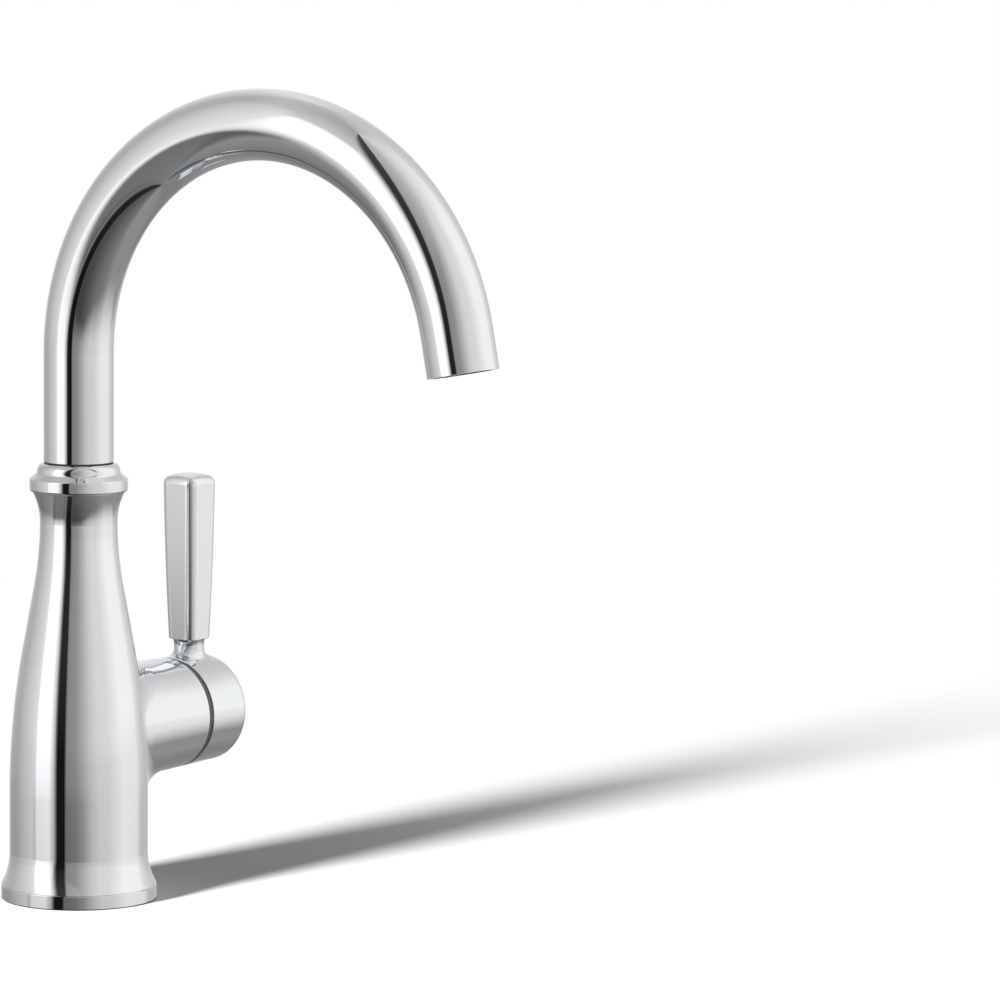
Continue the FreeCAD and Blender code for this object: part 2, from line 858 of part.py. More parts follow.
def valve_stem():
    driver_end = driver_start + size("stem_driver_height")
    driver_radius = disc_radius - size("stem_driver_inset")
    section = size("stem_ring_section")
    ring_radius = stem_radius - section / 2
    ring_reaches = [cage_end + size("stem_groove_spacing") * count for count in (1, 2)]
    ring_grooves = [ring_groove(reach, section, stem_radius) for reach in ring_reaches]
    clip_floor = stem_radius - size("stem_clip_depth")
    clip_groove = (clip_start - size("fit_gap"), clip_end + size("fit_gap"), clip_floor)
    wall = grooved(driver_end, stem_end, stem_radius, ring_grooves + [clip_groove])
    outline = [(driver_start, 0), (driver_start, driver_radius)]
    outline += [(driver_end, driver_radius)] + wall + [(stem_end, 0)]
    turning = turned("stem_turning", outline, "H_Axis", z=valve_height)
    lug = valve_sector(
        "stop_lug",
        stop_lug_radius,
        driver_start,
        driver_end,
        size("stop_lug_angle"),
        -size("stop_lug_angle") / 2,
    )
    port = port_through_driver("driver_port", driver_start, driver_end)
    keep("valve_stem", less("stem_with_port", together("stem_blank", [turning, lug]), [port]))
    rings = [
        torus(f"stem_o_ring_{number}", ring_radius, section / 2, x=reach, z=valve_height, rotation=ALONG_X)
        for number, reach in enumerate(ring_reaches, start=1)
    ]
    keep("stem_o_rings", apart("stem_o_rings", rings))
    clip_inner = clip_floor + size("fit_gap")
    clip = ring_on_valve("stem_clip", half("stem_clip_diameter"), clip_inner, clip_start, clip_end)
    keep("stem_clip", clip)


# Handle


def handle_hub():
    """Hub and lever neck in one casting, cored for the stem adapter."""
    body = doc.addObject("PartDesign::Body", "hub_blank")
    place(body, z=valve_height)
    edge = size("hub_edge_radius")
    seam_edge = size("seam_edge_radius")
    outline = [
        (hub_start, 0),
        (hub_end, 0),
        (hub_end, barrel_radius(hub_end) - edge, edge),
        (hub_end - edge, barrel_radius(hub_end - edge)),
        (hub_start + seam_edge, barrel_radius(hub_start + seam_edge), seam_edge),
        (hub_start, barrel_radius(hub_start) - seam_edge),
    ]
    turn(body, "hub_drum", outline, "H_Axis")
    neck_radius = half("lever_neck_diameter")
    neck_top = lever_bottom - valve_height
    flare = size("lever_neck_flare")
    lip = size("lever_neck_lip")
    flare_start = neck_top - other_leg(flare, flare - lip)
    neck_outline = [
        (0, 0),
        (neck_radius, 0),
        (neck_radius, flare_start, -flare),
        (neck_radius + lip, neck_top),
        (0, neck_top),
    ]
    neck = turn(body, "lever_neck", neck_outline, "V_Axis", x=lever_reach)
    doc.recompute()

    def where_neck_leaves_drum(edge_now):
        return all(on_neck(point) for point in edge_now.discretize(7))

    def on_neck(point):
        if point.z > flare_start.value - CLOSE:
            return False
        return abs(math.hypot(point.x - lever_reach.value, point.y) - neck_radius.value) < CLOSE

    edges = edges_where(neck.Shape, where_neck_leaves_drum)
    room = half("hub_length") - neck_radius - size("lever_neck_land")
    neck_fillet = least(size("lever_neck_fillet"), room)
    round_edges(body, "neck_blend", neck, "PartDesign::Fillet", edges, Radius=neck_fillet)
    cuts = [
        valve_bar("hub_cavity", half("hub_cavity_diameter"), hub_start, insert_start),
        valve_bar("insert_pocket", half("insert_diameter") + size("fit_gap"), insert_start, insert_end),
        cylinder(
            "stud_hole_in_hub",
            half("stud_diameter") + size("fit_gap"),
            size("stud_hub_depth"),
            x=lever_reach,
            z=lever_bottom - size("stud_hub_depth"),
        ),
        screw_bar("screw_hole_in_hub", screw_hole_radius, barrel_radius(hub_start)),
    ]
    keep("handle_hub", less("hub_casting", body, cuts))


def screw_bar(name, radius, depth):
    """A bar on the set screw's axis, from the stem down to a depth below the valve's axis."""
    length = depth - stem_radius
    return cylinder(name, radius, length, x=lever_reach, z=valve_height - depth)


def handle_insert():
    sleeve = ring_on_valve(
        "insert_sleeve",
        half("insert_diameter"),
        stem_radius + size("fit_gap"),
        insert_start,
        insert_end,
    )
    hole = screw_bar("screw_hole_in_insert", screw_hole_radius, half("insert_diameter"))
    keep("handle_insert", less("insert_with_hole", sleeve, [hole]))


def handle_fasteners():
    screw_depth = barrel_radius(lever_reach) - size("set_screw_recess")
    screw = screw_bar("set_screw_blank", half("set_screw_diameter"), screw_depth)
    key = hexagon(
        "set_screw_key",
        size("set_screw_key_flats"),
        size("set_screw_key_depth"),
        x=lever_reach,
        z=valve_height - screw_depth,
    )
    keep("handle_set_screw", less("set_screw_with_key", screw, [key]))
    stud = cylinder(
        "lever_stud",
        half("stud_diameter"),
        size("stud_hub_depth") + size("stud_bar_depth"),
        x=lever_reach,
        z=lever_bottom - size("stud_hub_depth"),
    )
    keep("lever_stud", stud)


def rounded_square(side, corner):
    """Outline of a square with rounded corners, centred on the sketch."""
    edge = side / 2
    flat = edge - corner
    return [
        (flat, -edge, corner),
        (edge, -flat),
        (edge, flat, corner),
        (flat, edge),
        (-flat, edge, corner),
        (-edge, flat),
        (-edge, -flat, corner),
        (-flat, -edge),
    ]


def lever_bar():
    """Square bar that swells upwards, with a crowned top and soft edges."""
    body = doc.addObject("PartDesign::Body", "bar_blank")
    place(body, x=lever_reach, z=lever_bottom)
    length = size("lever_length")
    corner = size("lever_corner_radius")
    sections = []
    stations = [("bottom", as_size(0)), ("middle", length / 2), ("top", length)]
    for name, height in stations:
        sketch = new_sketch(body, f"bar_{name}", "XY_Plane", z=height)
        draw(sketch, rounded_square(size(f"lever_side_{name}"), corner))
        sections.append(sketch)
    loft = body.newObject("PartDesign::AdditiveLoft", "bar_loft")
    loft.Profile = sections[0]
    loft.Sections = sections[1:]
    crown = size("lever_crown_radius")
    width = size("lever_side_top")
    crown_sketch = new_sketch(body, "bar_crown_outline", "XZ_Plane")
    rim = length - crown + other_leg(crown, width)
    draw(crown_sketch, [(0, length, -crown), (width, rim), (width, length + width), (0, length + width)])
    crown_cut = body.newObject("PartDesign::Groove", "bar_crown")
    crown_cut.Profile = crown_sketch
    crown_cut.ReferenceAxis = (crown_sketch, ["V_Axis"])
    crown_cut.Angle = 360
    doc.recompute()
    crown_centre = FreeCAD.Vector(0, 0, (length - crown).value)

    def on_crown(edge):
        reaches = [(point - crown_centre).Length for point in edge.discretize(5)]
        return all(abs(reach - crown.value) < CLOSE for reach in reaches)

    def on_bottom(edge):
        return abs(edge.BoundBox.ZMax) < CLOSE

    rim_edges = edges_where(crown_cut.Shape, on_crown)
    rim_fillet = least(size("lever_top_fillet"), corner)
    rounding = round_edges(body, "bar_rim", crown_cut, "PartDesign::Fillet", rim_edges, Radius=rim_fillet)
    doc.recompute()
    bottom_edges = edges_where(rounding.Shape, on_bottom)
    chamfer = size("lever_bottom_chamfer")
    round_edges(body, "bar_foot", rounding, "PartDesign::Chamfer", bottom_edges, Size=chamfer)
    hole = cylinder(
        "stud_hole_in_bar",
        half("stud_diameter") + size("fit_gap"),
        size("stud_bar_depth"),
        x=lever_reach,
        z=lever_bottom,
    )
    keep("lever_bar", less("bar_with_hole", body, [hole]))


def seam_ring():
    inner = half("valve_neck_diameter") + size("fit_gap")
    outer = barrel_radius(size("barrel_reach")) - size("seam_ring_inset")
    keep("seam_ring", ring_on_valve("seam_ring", outer, inner, size("barrel_reach"), valve_neck_end))


# Collar and spout


def spout_collar():
    """Retaining collar, screwed on the body's spigot.

    From the plain band a slope runs into a cove, which turns upright and flows into a round bead.
    """
    bore = half("collar_thread_diameter")
    lip_radius = spout_bore_radius + size("running_gap")
    band = half("collar_band_diameter")
    band_top = body_top + size("collar_band_height")
    band_foot = size("collar_band_foot_radius")
    edge = size("collar_edge_radius")
    slope = size("collar_slope")
    cove = size("collar_cove_radius")
    shoulder = half("collar_shoulder_diameter")
    top_radius = half("collar_top_diameter")
    slope_start = band - edge + edge * sine(slope)
    slope_bottom = band_top + edge * cosine(slope)
    slope_end = shoulder + cove - cove * sine(slope)
    slope_top = slope_bottom + (slope_start - slope_end) * tangent(slope)
    shoulder_height = slope_top + cove * cosine(slope)
    bead = upright_arc(shoulder - top_radius, collar_top - shoulder_height)
    outline = [
        (bore, body_top),
        (band - band_foot, body_top, band_foot),
        (band, body_top + band_foot),
        (band, band_top, edge),
        (slope_start, slope_bottom),
        (slope_end, slope_top, -cove),
        (shoulder, shoulder_height, bead),
        (top_radius, collar_top),
        (lip_radius, collar_top),
        (lip_radius, lip_bottom),
        (bore, lip_bottom),
    ]
    keep("spout_collar", turned("spout_collar", outline))


def spout_bearings():
    outer = half("collar_thread_diameter") - size("fit_gap")
    inner = spout_bore_radius + size("slide_gap")
    thickness = size("bearing_thickness")
    keep("lower_bearing", ring("lower_bearing", outer, inner, spigot_top, spigot_top + thickness))
    keep("upper_bearing", ring("upper_bearing", outer, inner, lip_bottom - thickness, lip_bottom))


def spout_shank():
    """Swivel stub of the spout, held down by its flange under the collar's lip."""
    bottom = body_top - size("swivel_length") + size("slide_gap")
    top = spout_bottom + size("spout_socket_depth")
    bore = half("swivel_bore_diameter")
    section = size("swivel_ring_section")
    heights = [bottom + size("swivel_ring_inset") + size("swivel_ring_spacing") * count for count in (0, 1)]
    grooves = [ring_groove(height, section, swivel_radius) for height in heights]
    wall = [(radius, height) for height, radius in grooved(bottom, flange_bottom, swivel_radius, grooves)]
    flange = half("shank_flange_diameter")
    outline = [(bore, bottom)] + wall
    outline += [(flange, flange_bottom), (flange, flange_top), (spout_bore_radius, flange_top)]
    outline += [(spout_bore_radius, top), (bore, top)]
    keep("spout_shank", turned("spout_shank", outline))
    rings = [
        torus(f"spout_o_ring_{number}", swivel_radius - section / 2, section / 2, z=height)
        for number, height in enumerate(heights, start=1)
    ]
    keep("spout_o_rings", apart("spout_o_rings", rings))
    wear_outer = spout_radius - size("wear_ring_inset")
    wear_inner = spout_bore_radius + size("fit_gap")
    wear_bottom = spout_bottom - size("wear_ring_thickness")
    keep("spout_wear_ring", ring("spout_wear_ring", wear_outer, wear_inner, wear_bottom, spout_bottom))


def spout_run(name, radius):
    """A solid bar along the spout's line: a straight leg, one bend and a straight outlet."""
    angle = size("bend_angle")
    bend = size("bend_radius")
    leg = cylinder(f"{name}_leg", radius, size("bend_height") - spout_bottom, z=spout_bottom)
    arc = doc.addObject("Part::Torus", f"{name}_bend")
    bind(arc, Radius1=bend, Radius2=radius, Angle3=angle)
    place(arc, y=-bend, z=size("bend_height"), rotation=BEND_PLANE)
    end = cylinder(
        f"{name}_end",
        radius,
        size("outlet_length"),
        y=bend * cosine(angle) - bend,
        z=size("bend_height") + bend * sine(angle),
        tilt=angle,
    )
    return [leg, arc, end]


def spout_tube():
    outside = together("tube_outside", spout_run("tube", spout_radius))
    keep("spout_tube", less("tube_hollow", outside, spout_run("tube_bore", spout_bore_radius)))


# Aerator in the outlet


def at_outlet():
    """Where the aerator's pieces stand: the middle of the outlet's rim, looking up the tube."""
    angle = size("bend_angle")
    bend = size("bend_radius")
    return {
        "y": bend * cosine(angle) - bend - size("outlet_length") * sine(angle),
        "z": size("bend_height") + bend * sine(angle) + size("outlet_length") * cosine(angle),
        "tilt": angle - 180,
    }


def aerator():
    """Recessed aerator: a threaded ring that holds a drilled insert, a screen and a seal."""
    spot = at_outlet()
    outer = spout_bore_radius - size("fit_gap")
    bottom = size("aerator_recess")
    top = bottom + size("aerator_length")
    inner = outer - size("aerator_wall")
    lip = inner - size("aerator_lip_width")
    lip_top = bottom + size("aerator_lip_height")
    outline = [(lip, bottom), (outer, bottom), (outer, top), (inner, top), (inner, lip_top), (lip, lip_top)]
    keep("aerator_housing", turned("aerator_housing", outline, **spot))
    fill = inner - size("fit_gap")
    insert_top = lip_top + size("aerator_insert_height")
    insert_holes = hole_rings(half("insert_hole_diameter"), size("insert_hole_pitch"), INSERT_HOLE_RINGS)
    insert_height = insert_top - lip_top
    insert = drilled_plate("aerator_insert", fill, insert_holes, lip_top, insert_height, **spot)
    keep("aerator_insert", insert)
    screen_holes = hole_rings(half("screen_hole_diameter"), size("screen_hole_pitch"), SCREEN_HOLE_RINGS)
    thickness = size("aerator_screen_thickness")
    keep("aerator_screen", drilled_plate("aerator_screen", fill, screen_holes, insert_top, thickness, **spot))
    seal_top = top + size("aerator_seal_thickness")
    keep("aerator_seal", ring("aerator_seal", outer, lip, top, seal_top, **spot))


def hole_rings(radius, pitch, rings):
    """Round holes (u, v, radius): one in the middle and rings of 6, 12, 18 and so on round it."""
    holes = [(as_size(0), as_size(0), radius)]
    for ring_number in range(1, rings + 1):
        count = 6 * ring_number
        for index in range(count):
            angle = as_size(360 * index / count)
            reach = pitch * ring_number
            holes.append((reach * cosine(angle), reach * sine(angle), radius))
    return holes


def drilled_plate(name, radius, holes, bottom, height, **where):
    body = doc.addObject("PartDesign::Body", name)
    sketch = new_sketch(body, f"{name}_outline", "XY_Plane", z=bottom)
    circles = [(as_size(0), as_size(0), radius)] + holes
    for index, (across, along, reach) in enumerate(circles):
        centre = FreeCAD.Vector(across.value, along.value, 0)
        sketch.addGeometry(Part.Circle(centre, Z_AXIS, reach.value))
        constrain(sketch, Sketcher.Constraint("Radius", index, reach.value), reach)
        constrain(sketch, Sketcher.Constraint("DistanceX", -1, 1, index, 3, across.value), across)
        constrain(sketch, Sketcher.Constraint("DistanceY", -1, 1, index, 3, along.value), along)
    pad = body.newObject("PartDesign::Pad", f"{name}_pad")
    pad.Profile = sketch
    bind(pad, Length=height)
    return place(body, **where)


# Build, check and write


def check():
    doc.recompute()
    for feature in doc.Objects:
        if "Invalid" in feature.State or "Error" in feature.State:
            raise RuntimeError(f"{feature.Label} failed: {feature.State}")
    for piece in pieces:
        shape = piece.Shape
        if shape.isNull() or not shape.isValid() or not shape.Solids:
            raise RuntimeError(f"{piece.Label} has no sound shape")


def write():
    os.makedirs("parts", exist_ok=True)
    for piece in pieces:
        piece.Shape.exportStep(os.path.join("parts", f"{piece.Label}.step"))
        volume = piece.Shape.Volume / 1000
        print(f"{piece.Label}: {len(piece.Shape.Solids)} solid, {volume:.3f} cm3")


faucet_body()
base_and_fixing()
water_inlet()
valve_cage()
valve_seals()
valve_discs()
valve_stem()
seam_ring()
handle_hub()
handle_insert()
handle_fasteners()
lever_bar()
spout_collar()
spout_bearings()
spout_shank()
spout_tube()
aerator()
check()
write()
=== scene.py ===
"""Finishes, threads, studio and camera for a chrome beverage faucet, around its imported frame."""

import math

import bpy
from mathutils import Matrix, Vector


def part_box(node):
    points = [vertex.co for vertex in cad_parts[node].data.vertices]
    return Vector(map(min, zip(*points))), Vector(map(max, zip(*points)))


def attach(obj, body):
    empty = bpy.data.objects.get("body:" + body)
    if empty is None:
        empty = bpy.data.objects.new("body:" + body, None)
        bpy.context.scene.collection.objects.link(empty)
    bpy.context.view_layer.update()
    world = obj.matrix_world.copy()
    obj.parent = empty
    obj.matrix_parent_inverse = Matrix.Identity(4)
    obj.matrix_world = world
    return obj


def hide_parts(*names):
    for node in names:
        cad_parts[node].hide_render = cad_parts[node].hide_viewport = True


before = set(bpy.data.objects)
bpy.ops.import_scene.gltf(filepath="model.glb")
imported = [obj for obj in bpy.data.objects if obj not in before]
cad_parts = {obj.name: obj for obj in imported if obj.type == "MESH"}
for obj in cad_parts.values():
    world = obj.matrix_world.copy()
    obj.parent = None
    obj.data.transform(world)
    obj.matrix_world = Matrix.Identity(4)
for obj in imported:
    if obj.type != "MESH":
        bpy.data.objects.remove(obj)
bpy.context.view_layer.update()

MM = 0.001

# Camera, as the photograph was taken: pixels, degrees and millimetres
PHOTO_SIDE = 1000
LENS_IN_PIXELS = 6000
SENSOR_WIDTH = 36.0
CAMERA_TURN = -54.45
CAMERA_PITCH = 6.5724
CAMERA_ROLL = 0.4518
SPOUT_RADIUS = 11.1
SPOUT_RADIUS_PIXELS = 35.0745
AXIS_PIXEL_COLUMN = 78.7245
AXIS_HEIGHT_AT_MIDDLE_ROW = 127.45

# Screw threads and the pieces that carry them: counts, shares of a pitch, millimetres and degrees
AROUND = 96
THREAD_STEPS = 10
THREAD_DEPTH_IN_PITCHES = 0.6134
THREAD_ROOT = 0.25
THREAD_CREST = 0.875
SHANK_RADIUS = 12.0
SHANK_PITCH = 2.0
SHANK_BORE_RADIUS = 8.7
SHANK_HEAD_HEIGHT = 8.0
INLET_ASIDE = -3.4
INLET_THREAD_RADIUS = 7.14
INLET_PITCH = 25.4 / 24
INLET_HEX_FLATS = 16.0
INLET_HEX_HEIGHT = 6.0
INLET_SOCKET_DEPTH = 9.0
INLET_SOCKET_RADIUS = 4.79
INLET_WAY_RADIUS = 3.86
HEX_CHAMFER = 30.0
HEX_CHAMFER_STEPS = 5
SHARP_ANGLE = 28.0

# Finishes: spans of noise that are spread from 0 to 1, relief and roughness
WHOLE = (0.0, 1.0)
HAZE_SPAN = (0.35, 0.68)
RING_SPAN = (0.3, 0.7)
BLOTCH_SPAN = (0.4, 0.72)
RING_RELIEF = 0.25
RING_DEPTH = 0.02 * MM
RING_DULLNESS = 0.16
GRAIN_RELIEF = 0.4
VALVE_HEIGHT = 54.1 * MM

# Studio: metres, degrees and light levels, where 1 is white
WHITE = (1.0, 1.0, 1.0, 1.0)
ZENITH = 90
NADIR = -90
DOME_RADIUS = 6.0
DOME_COLUMNS = 240
DOME_ROWS = 90
UPRIGHT_MIRROR = -5.2
UPRIGHT_SHARE = 0.85
WALL_TOP_SOFTNESS = 4.0
FLOOR_SIDE = 40.0
FLOOR_OVER_DECK_FACE = 0.02 * MM
FLOOR_COLOUR = (0.9, 0.9, 0.9, 1.0)
FLOOR_FADE = (0.06, 0.78)
ROOM_LIGHT = 0.2
FLOOR_LIGHT = 0.95

# Lamps: azimuth, height and spread, and the strength of those on the pieces
SHADOW_LAMP = (177.5, 12.0, 10.0)
KEY_LAMP = (-175.0, 45.0, 40.0, 1.8)
FILL_LAMP = (-60.0, 30.0, 60.0, 0.9)


# Small helpers for node trees


def add_node(tree, kind, **settings):
    node = tree.nodes.new(kind)
    for name, value in settings.items():
        setattr(node, name, value)
    return node


def set_inputs(node, **values):
    for name, value in values.items():
        node.inputs[name.replace("_", " ")].default_value = value
    return node


def join(tree, source, target):
    tree.links.new(source, target)


def new_finish(name, **values):
    """A material with one Principled shader, and its tree and shader for more nodes."""
    material = bpy.data.materials.new(name)
    material.use_nodes = True
    tree = material.node_tree
    shader = tree.nodes["Principled BSDF"]
    set_inputs(shader, **values)
    return material, tree, shader


def new_group(name, inputs, outputs):
    """A shader node group with named sockets: its tree, and the nodes that hold its ends."""
    tree = bpy.data.node_groups.new(name, "ShaderNodeTree")
    for label, kind, value in inputs:
        socket = tree.interface.new_socket(name=label, in_out="INPUT", socket_type=kind)
        if value is not None:
            socket.default_value = value
    for label, kind in outputs:
        tree.interface.new_socket(name=label, in_out="OUTPUT", socket_type=kind)
    return tree, add_node(tree, "NodeGroupInput"), add_node(tree, "NodeGroupOutput")


def place_group(tree, group, **values):
    node = add_node(tree, "ShaderNodeGroup", node_tree=group)
    return set_inputs(node, **values)


def math_node(tree, operation, first, second):
    """A Math node of two inputs, each a socket or a number; its value."""
    node = add_node(tree, "ShaderNodeMath", operation=operation)
    for index, value in enumerate((first, second)):
        if isinstance(value, bpy.types.NodeSocket):
            join(tree, value, node.inputs[index])
        else:
            node.inputs[index].default_value = value
    return node.outputs["Value"]


def spread_node(tree, value, from_span, to_span, **settings):
    """A Map Range node; its result."""
    node = add_node(tree, "ShaderNodeMapRange", **settings)
    set_inputs(node, From_Min=from_span[0], From_Max=from_span[1], To_Min=to_span[0], To_Max=to_span[1])
    join(tree, value, node.inputs["Value"])
    return node.outputs["Result"]


def mix_colours(tree, factor, first, second):
    """A Mix node of two colours; its result."""
    node = add_node(tree, "ShaderNodeMix", data_type="RGBA")
    sockets = [socket for socket in node.inputs if socket.type == "RGBA"]
    join(tree, factor, node.inputs["Factor"])
    join(tree, first, sockets[0])
    join(tree, second, sockets[1])
    return next(socket for socket in node.outputs if socket.type == "RGBA")


# Kinds of socket
FLOAT = "NodeSocketFloat"
COLOUR = "NodeSocketColor"
VECTOR = "NodeSocketVector"


# Effects that several finishes share


def make_soft_haze():
    """Slow change of polish over a surface, between two roughness values."""
    inputs = [("Scale", FLOAT, 60.0), ("Bright", FLOAT, 0.03), ("Dull", FLOAT, 0.08)]
    tree, start, end = new_group("soft haze", inputs, [("Roughness", FLOAT)])
    place = add_node(tree, "ShaderNodeTexCoord")
    noise = set_inputs(add_node(tree, "ShaderNodeTexNoise"), Detail=3.0, Roughness=0.6)
    spread = add_node(tree, "ShaderNodeMapRange")
    set_inputs(spread, From_Min=HAZE_SPAN[0], From_Max=HAZE_SPAN[1])
    join(tree, place.outputs["Object"], noise.inputs["Vector"])
    join(tree, start.outputs["Scale"], noise.inputs["Scale"])
    join(tree, noise.outputs["Fac"], spread.inputs["Value"])
    join(tree, start.outputs["Bright"], spread.inputs["To Min"])
    join(tree, start.outputs["Dull"], spread.inputs["To Max"])
    join(tree, spread.outputs["Result"], end.inputs["Roughness"])
    return tree


def make_turning_marks():
    """Fine uneven rings left by a lathe tool, about the Z axis of the position it is given."""
    inputs = [("Position", VECTOR, None), ("Rings per metre", FLOAT, 4000.0)]
    tree, start, end = new_group("turning marks", inputs, [("Height", FLOAT), ("Dullness", FLOAT)])
    parts = add_node(tree, "ShaderNodeSeparateXYZ")
    join(tree, start.outputs["Position"], parts.inputs["Vector"])
    square_x = math_node(tree, "MULTIPLY", parts.outputs["X"], parts.outputs["X"])
    square_y = math_node(tree, "MULTIPLY", parts.outputs["Y"], parts.outputs["Y"])
    square_sum = math_node(tree, "ADD", square_x, square_y)
    radius = math_node(tree, "POWER", square_sum, 0.5)
    along = math_node(tree, "ADD", radius, parts.outputs["Z"])
    counted = math_node(tree, "MULTIPLY", along, start.outputs["Rings per metre"])
    rings = set_inputs(add_node(tree, "ShaderNodeTexNoise", noise_dimensions="1D"), Scale=1.0, Detail=2.0)
    join(tree, counted, rings.inputs["W"])
    join(tree, rings.outputs["Fac"], end.inputs["Height"])
    join(tree, spread_node(tree, rings.outputs["Fac"], RING_SPAN, WHOLE), end.inputs["Dullness"])
    return tree


def make_patina():
    """Blotches of age: a fresh colour that gives way to an aged one."""
    inputs = [
        ("Fresh", COLOUR, None),
        ("Aged", COLOUR, None),
        ("Scale", FLOAT, 90.0),
        ("Amount", FLOAT, 0.5),
    ]
    tree, start, end = new_group("patina", inputs, [("Color", COLOUR)])
    place = add_node(tree, "ShaderNodeTexCoord")
    noise = set_inputs(add_node(tree, "ShaderNodeTexNoise"), Detail=5.0, Roughness=0.62, Distortion=0.4)
    join(tree, place.outputs["Object"], noise.inputs["Vector"])
    join(tree, start.outputs["Scale"], noise.inputs["Scale"])
    blotches = spread_node(tree, noise.outputs["Fac"], BLOTCH_SPAN, WHOLE)
    amount = math_node(tree, "MULTIPLY", blotches, start.outputs["Amount"])
    mixed = mix_colours(tree, amount, start.outputs["Fresh"], start.outputs["Aged"])
    join(tree, mixed, end.inputs["Color"])
    return tree


def make_moulded_grain():
    """Fine grain of a moulded surface, with a slow change of tone over it."""
    inputs = [("Scale", FLOAT, 1500.0), ("Dark", COLOUR, None), ("Light", COLOUR, None)]
    tree, start, end = new_group("moulded grain", inputs, [("Height", FLOAT), ("Color", COLOUR)])
    place = add_node(tree, "ShaderNodeTexCoord")
    grain = set_inputs(add_node(tree, "ShaderNodeTexNoise"), Detail=2.0, Roughness=0.5)
    tone = set_inputs(add_node(tree, "ShaderNodeTexNoise"), Scale=120.0, Detail=4.0)
    join(tree, place.outputs["Object"], grain.inputs["Vector"])
    join(tree, place.outputs["Object"], tone.inputs["Vector"])
    join(tree, start.outputs["Scale"], grain.inputs["Scale"])
    join(tree, grain.outputs["Fac"], end.inputs["Height"])
    toned = mix_colours(tree, tone.outputs["Fac"], start.outputs["Dark"], start.outputs["Light"])
    join(tree, toned, end.inputs["Color"])
    return tree


SOFT_HAZE = make_soft_haze()
TURNING_MARKS = make_turning_marks()
PATINA = make_patina()
MOULDED_GRAIN = make_moulded_grain()

# How a position is shifted and turned before rings run about its Z axis, for pieces on the body's axis,
# on the inlet's and on the valve's. The valve's rings run about a line as far under the deck as the valve
# is over it, so they are nearly straight.
UPRIGHT = ((0.0, 0.0, 0.0), (0.0, 0.0, 0.0))
ON_INLET = ((-INLET_ASIDE * MM, 0.0, 0.0), (0.0, 0.0, 0.0))
ON_VALVE = ((-VALVE_HEIGHT, 0.0, 0.0), (0.0, -math.pi / 2, 0.0))


# Finishes


def add_bump(tree, shader, height, strength, distance):
    bump = set_inputs(add_node(tree, "ShaderNodeBump"), Strength=strength, Distance=distance)
    join(tree, height, bump.inputs["Height"])
    join(tree, bump.outputs["Normal"], shader.inputs["Normal"])


def chrome_finish():
    """Bright chrome plate over a buffed casting or tube, with a slow change of polish and tone."""
    material, tree, shader = new_finish("polished_chrome", Metallic=1.0)
    tone = place_group(tree, PATINA, Scale=40.0, Amount=0.6)
    set_inputs(tone, Fresh=(0.802, 0.818, 0.835, 1.0), Aged=(0.774, 0.79, 0.807, 1.0))
    haze = place_group(tree, SOFT_HAZE, Scale=45.0, Bright=0.012, Dull=0.03)
    join(tree, tone.outputs["Color"], shader.inputs["Base Color"])
    join(tree, haze.outputs["Roughness"], shader.inputs["Roughness"])
    return material


def turned_metal(name, colours, axis, age, roughness, rings):
    """Bare metal off the lathe: rings about the axis that it is given, and some age."""
    material, tree, shader = new_finish(name, Metallic=1.0)
    place = add_node(tree, "ShaderNodeTexCoord")
    lay = set_inputs(add_node(tree, "ShaderNodeMapping"), Location=axis[0], Rotation=axis[1])
    marks = place_group(tree, TURNING_MARKS, Rings_per_metre=rings)
    patina = place_group(tree, PATINA, Fresh=colours[0], Aged=colours[1], Scale=110.0, Amount=age)
    join(tree, place.outputs["Object"], lay.inputs["Vector"])
    join(tree, lay.outputs["Vector"], marks.inputs["Position"])
    join(tree, patina.outputs["Color"], shader.inputs["Base Color"])
    dull = spread_node(tree, marks.outputs["Dullness"], WHOLE, (roughness, roughness + RING_DULLNESS))
    join(tree, dull, shader.inputs["Roughness"])
    add_bump(tree, shader, marks.outputs["Height"], RING_RELIEF, RING_DEPTH)
    return material


def moulded_finish(name, colours, grain_scale, roughness, grain_depth):
    """Rubber or plastic out of a mould."""
    material, tree, shader = new_finish(name, Roughness=roughness)
    grain = place_group(tree, MOULDED_GRAIN, Scale=grain_scale, Dark=colours[0], Light=colours[1])
    join(tree, grain.outputs["Color"], shader.inputs["Base Color"])
    add_bump(tree, shader, grain.outputs["Height"], GRAIN_RELIEF, grain_depth)
    return material


def ceramic_finish():
    """Lapped alumina: off-white, with faint dark specks and a satin face."""
    material, tree, shader = new_finish("lapped_alumina")
    patina = place_group(tree, PATINA, Scale=900.0, Amount=0.35)
    set_inputs(patina, Fresh=(0.86, 0.85, 0.82, 1.0), Aged=(0.7, 0.68, 0.64, 1.0))
    haze = place_group(tree, SOFT_HAZE, Scale=300.0, Bright=0.16, Dull=0.34)
    join(tree, patina.outputs["Color"], shader.inputs["Base Color"])
    join(tree, haze.outputs["Roughness"], shader.inputs["Roughness"])
    return material


# Fresh and aged colours of the metals, dark and light tones of the mouldings
BRASS = ((0.78, 0.6, 0.29, 1.0), (0.5, 0.34, 0.14, 1.0))
COPPER = ((0.78, 0.44, 0.3, 1.0), (0.42, 0.2, 0.12, 1.0))
STEEL = ((0.62, 0.62, 0.61, 1.0), (0.46, 0.46, 0.46, 1.0))
RUBBER_BLACK = ((0.016, 0.016, 0.017, 1.0), (0.03, 0.03, 0.03, 1.0))
ACETAL_BLACK = ((0.02, 0.02, 0.022, 1.0), (0.034, 0.034, 0.036, 1.0))
SEAM_GREY = ((0.07, 0.071, 0.074, 1.0), (0.09, 0.091, 0.094, 1.0))
ACETAL_GREY = ((0.5, 0.51, 0.53, 1.0), (0.6, 0.61, 0.63, 1.0))

